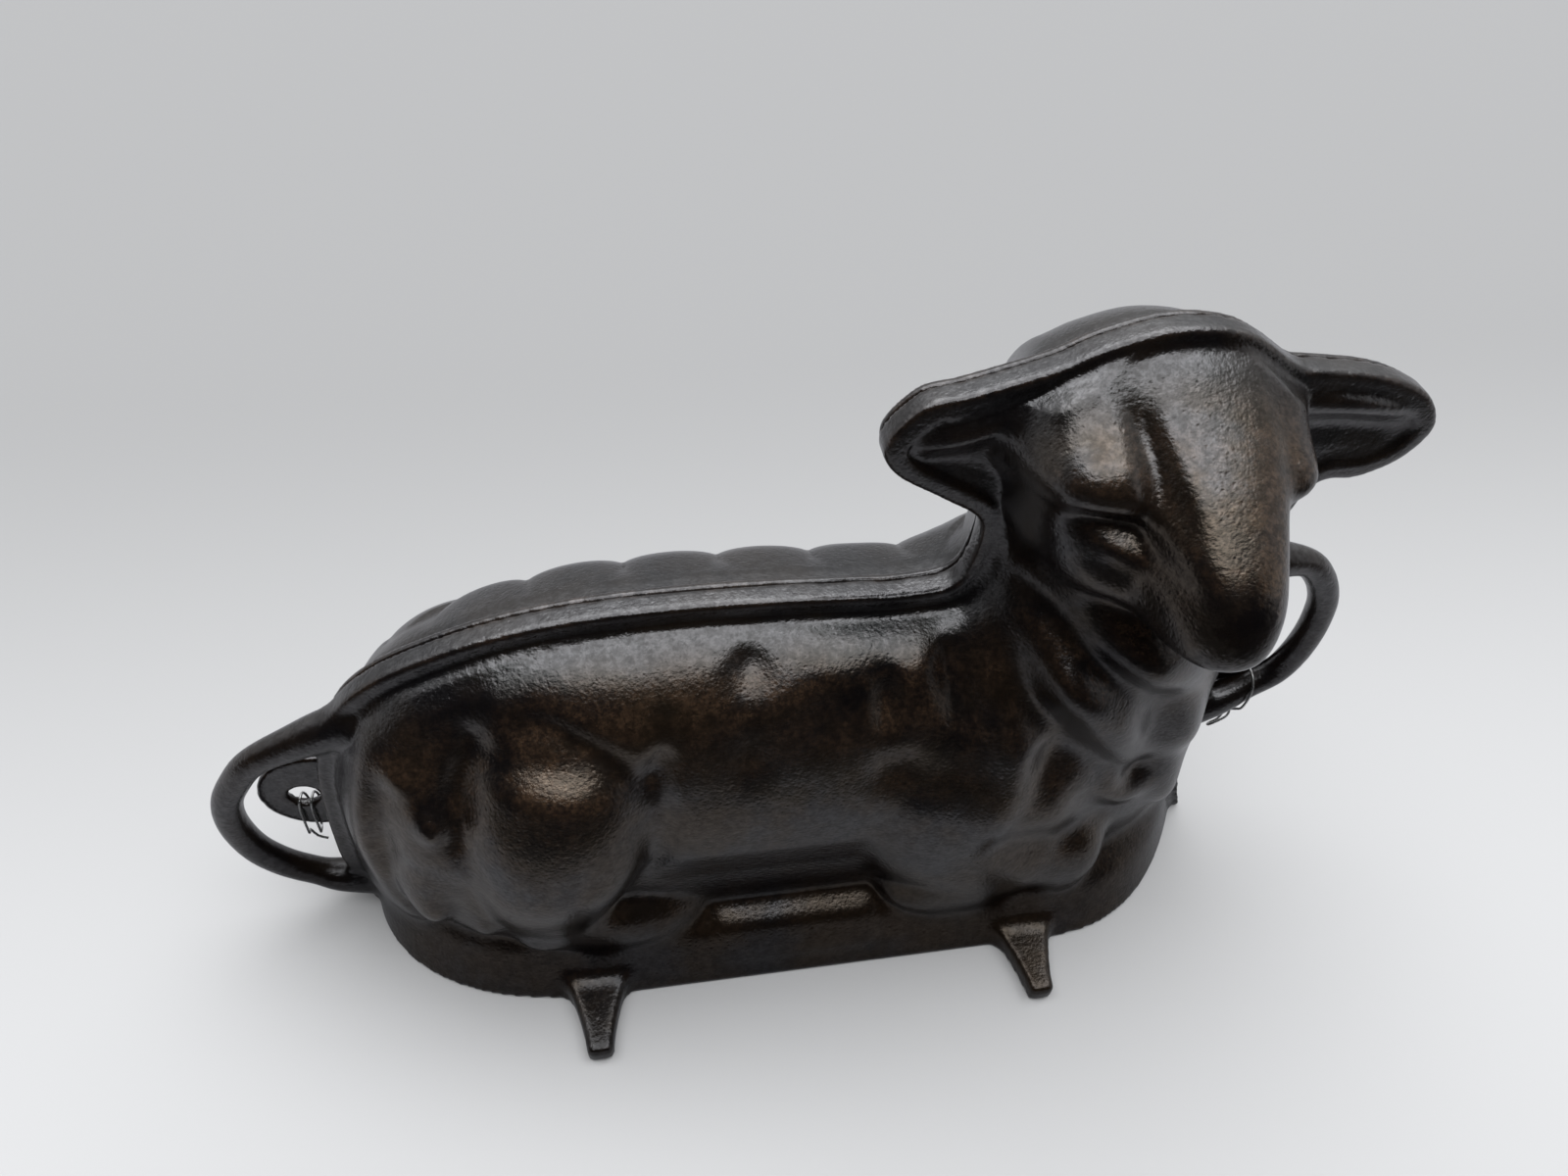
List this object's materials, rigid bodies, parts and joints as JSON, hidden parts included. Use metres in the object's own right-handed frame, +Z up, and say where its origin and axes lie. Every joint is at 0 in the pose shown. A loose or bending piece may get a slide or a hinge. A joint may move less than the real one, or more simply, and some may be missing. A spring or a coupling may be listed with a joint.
{
  "type": "lamb cake mould",
  "caption": "Cast-iron lamb cake mould in two halves that close on an upright seam, with loop handles on the face half and lugs on the tail half.",
  "frame": {"origin": "middle of the whole mould's footprint, on the plane that its base stands on", "axes": "+Z up, +X to the lamb's head end, +Y from the face half to the tail half, across the seam"},
  "size_m": [0.3336, 0.1174, 0.203],
  "materials": {
    "front_half": "seasoned, satin",
    "back_half": "seasoned, satin",
    "wire_tie_left": "dull steel wire",
    "wire_tie_right": "dull steel wire"
  },
  "bodies": {
    "face": {"front_half": "front_half", "wire_tie_right": "wire_tie_right"},
    "tail": {"back_half": "back_half", "wire_tie_left": "wire_tie_left"}
  },
  "joints": [
    {"name": "lift_off", "type": "slide", "parent": "face", "child": "tail", "axis": [0, 1, 0], "range_m": [0, 0.12], "deforming": ["wire_tie_right"]}
  ]
}
